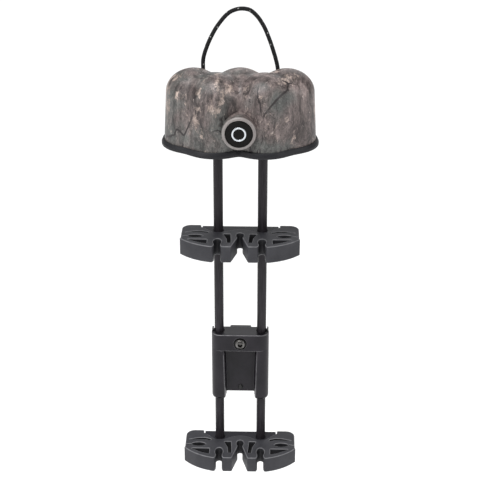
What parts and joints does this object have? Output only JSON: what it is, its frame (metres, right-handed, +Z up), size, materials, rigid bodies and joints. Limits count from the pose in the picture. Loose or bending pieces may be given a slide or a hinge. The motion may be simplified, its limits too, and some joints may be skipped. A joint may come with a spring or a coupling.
{
  "type": "bow quiver",
  "caption": "Bow-mounted arrow quiver: lobed hood with a carry loop on two rods, rubber arrow grippers that slide on them, and a clamp bracket with a cam-locked dovetail mount.",
  "frame": {"origin": "centre of the bow plate's flat face that bolts to the bow", "axes": "+Y out of that face towards the bow, +Z up along the rods towards the hood, +X to the right as seen from the front"},
  "size_m": [0.151, 0.0967, 0.4852],
  "materials": {
    "bracket_black": "black anodised, fine satin grain, worn along edges",
    "rod_black": "smooth near-black tube with a soft sheen",
    "carrier_plastic": "satin black moulded plastic",
    "black_plastic": "fine moulded texture",
    "grip_rubber": "matte dark grey moulded rubber, lighter on its edges",
    "rim_rubber": "black rubber edge trim",
    "screw_steel": "bright, worn",
    "screw_black": "black oxide",
    "hood_camo": "bark-pattern camouflage film under a satin coat",
    "hood_foam": "dense black open-cell foam",
    "badge_black": "high gloss black",
    "badge_silver": "bright silver",
    "cord_black": "braided black cord with pale tracer flecks"
  },
  "bodies": {
    "bow_mount": {"bow_plate": "bracket_black", "bow_screw_upper": "screw_steel", "bow_screw_lower": "screw_steel"},
    "bracket": {"bracket_body": "bracket_black", "clamp_washer": "screw_steel", "clamp_screw": "screw_steel", "recess_rivet": "screw_black", "dovetail_receiver": "bracket_black", "lever_pin": "screw_steel"},
    "lever": {"cam_lever": "bracket_black"},
    "plunger": {"lock_plunger": "screw_steel"},
    "rod_frame": {"rod_left": "rod_black", "rod_right": "rod_black", "rod_plug_left": "black_plastic", "rod_plug_right": "black_plastic", "hood_shell": "hood_camo", "hood_rim_trim": "rim_rubber", "hood_foam": "hood_foam", "badge_disc": "badge_black", "badge_ring": "badge_silver", "hood_yoke": "black_plastic", "yoke_screw_left": "screw_black", "yoke_screw_right": "screw_black", "carry_cord": "cord_black", "cord_eyelet_left": "black_plastic", "cord_eyelet_right": "black_plastic", "cord_knot_left": "cord_black", "cord_knot_right": "cord_black"},
    "upper_gripper": {"upper_gripper_carrier": "carrier_plastic", "upper_gripper_rubber": "grip_rubber", "upper_gripper_set_screw_left": "screw_black", "upper_gripper_set_screw_right": "screw_black"},
    "lower_gripper": {"lower_gripper_carrier": "carrier_plastic", "lower_gripper_rubber": "grip_rubber", "lower_gripper_set_screw_left": "screw_black", "lower_gripper_set_screw_right": "screw_black"}
  },
  "joints": [
    {"name": "quiver_slide", "type": "slide", "parent": "bow_mount", "child": "bracket", "axis": [0, 0, 1], "range_m": [0, 0.055]},
    {"name": "height_adjust", "type": "slide", "parent": "bracket", "child": "rod_frame", "axis": [0, 0, 1], "range_m": [-0.04, 0.02]},
    {"name": "upper_gripper_slide", "type": "slide", "parent": "rod_frame", "child": "upper_gripper", "axis": [0, 0, 1], "range_m": [-0.04, 0.04]},
    {"name": "lower_gripper_slide", "type": "slide", "parent": "rod_frame", "child": "lower_gripper", "axis": [0, 0, 1], "range_m": [0, 0.03]},
    {"name": "cam_lever_pivot", "type": "hinge", "parent": "bracket", "child": "lever", "pos_m": [0.021, -0.0092, 0.02], "axis": [0, -1, 0], "range_deg": [0, 95]},
    {"name": "plunger_travel", "type": "slide", "parent": "bracket", "child": "plunger", "axis": [1, 0, 0], "range_m": [0, 0.0009]}
  ],
  "couplings": [
    {"joint": "plunger_travel", "follows": "cam_lever_pivot", "m_per_rad": 0.00054}
  ]
}
